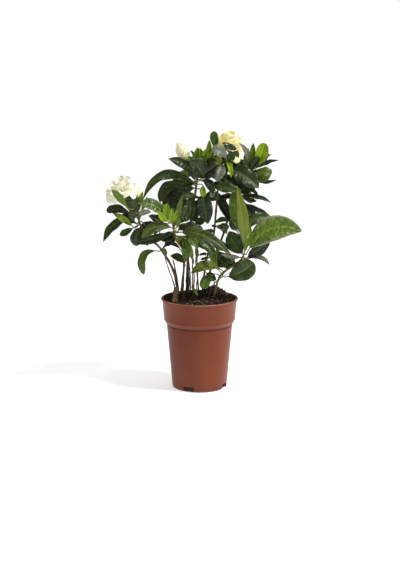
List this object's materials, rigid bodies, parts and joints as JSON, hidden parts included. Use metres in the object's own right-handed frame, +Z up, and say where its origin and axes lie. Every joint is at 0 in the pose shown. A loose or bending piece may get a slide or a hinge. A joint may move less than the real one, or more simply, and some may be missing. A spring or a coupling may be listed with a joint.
{
  "type": "potted gardenia",
  "caption": "Leafy flowering shrub with glossy dark leaves, bright young shoots, a ragged white double bloom, a pale yellow bloom and a cream bud, in a tapered terracotta-coloured plastic pot.",
  "frame": {"origin": "centre of the pot's underside, on the surface that it stands on", "axes": "+Z up along the pot's axis; -Y towards the viewer of the plant's front; +X to that viewer's right"},
  "size_m": [0.3276, 0.1688, 0.4351],
  "materials": {
    "pot_plastic": "satin",
    "soil": "matte",
    "bark": "matte",
    "leaf_dark": "satin",
    "leaf_mid": "satin",
    "leaf_olive": "satin",
    "leaf_glossy": "gloss",
    "leaf_young": "satin",
    "leaf_grey": "satin",
    "calyx": "satin",
    "petal_white": "matte",
    "petal_yellow": "matte",
    "petal_cream": "satin"
  },
  "bodies": {
    "root": {"pot": "pot_plastic", "soil": "soil", "cut_stump": "bark", "cane_left": "bark", "cane_centre_left": "bark", "cane_main": "bark", "cane_upper": "bark", "cane_top_right": "bark", "branch_right": "bark", "twig_left": "bark", "twig_front": "bark", "twig_middle": "bark", "leaf_left_1": "leaf_mid", "leaf_left_2": "leaf_dark", "leaf_left_3": "leaf_dark", "leaf_left_4": "leaf_young", "leaf_left_5": "leaf_mid", "leaf_left_6": "leaf_dark", "leaf_crown_1": "leaf_dark", "leaf_crown_2": "leaf_dark", "leaf_crown_3": "leaf_dark", "leaf_crown_4": "leaf_dark", "leaf_top_1": "leaf_mid", "leaf_top_2": "leaf_grey", "leaf_top_3": "leaf_dark", "leaf_top_4": "leaf_dark", "leaf_top_5": "leaf_dark", "leaf_tip_1": "leaf_young", "leaf_tip_2": "leaf_dark", "leaf_tip_3": "leaf_mid", "leaf_right_1": "leaf_dark", "leaf_right_2": "leaf_olive", "leaf_right_3": "leaf_mid", "leaf_right_4": "leaf_glossy", "leaf_right_5": "leaf_dark", "leaf_right_6": "leaf_mid", "leaf_right_7": "leaf_dark", "leaf_mid_1": "leaf_glossy", "leaf_mid_2": "leaf_olive", "leaf_mid_3": "leaf_mid", "leaf_mid_4": "leaf_dark", "leaf_mid_5": "leaf_dark", "leaf_mid_6": "leaf_olive", "leaf_mid_7": "leaf_mid", "leaf_mid_8": "leaf_olive", "leaf_back_1": "leaf_dark", "leaf_back_2": "leaf_dark", "leaf_back_3": "leaf_dark", "leaf_back_4": "leaf_dark", "tuft_crown": "leaf_young", "tuft_top_right": "leaf_young", "white_bloom_outer": "petal_white", "white_bloom_middle": "petal_white", "white_bloom_heart": "petal_white", "yellow_bloom_outer": "petal_yellow", "yellow_bloom_heart": "petal_yellow", "cream_bud": "petal_cream", "yellow_bud": "petal_yellow", "cream_bud_stalk": "calyx", "white_bloom_stalk": "calyx"}
  },
  "joints": []
}
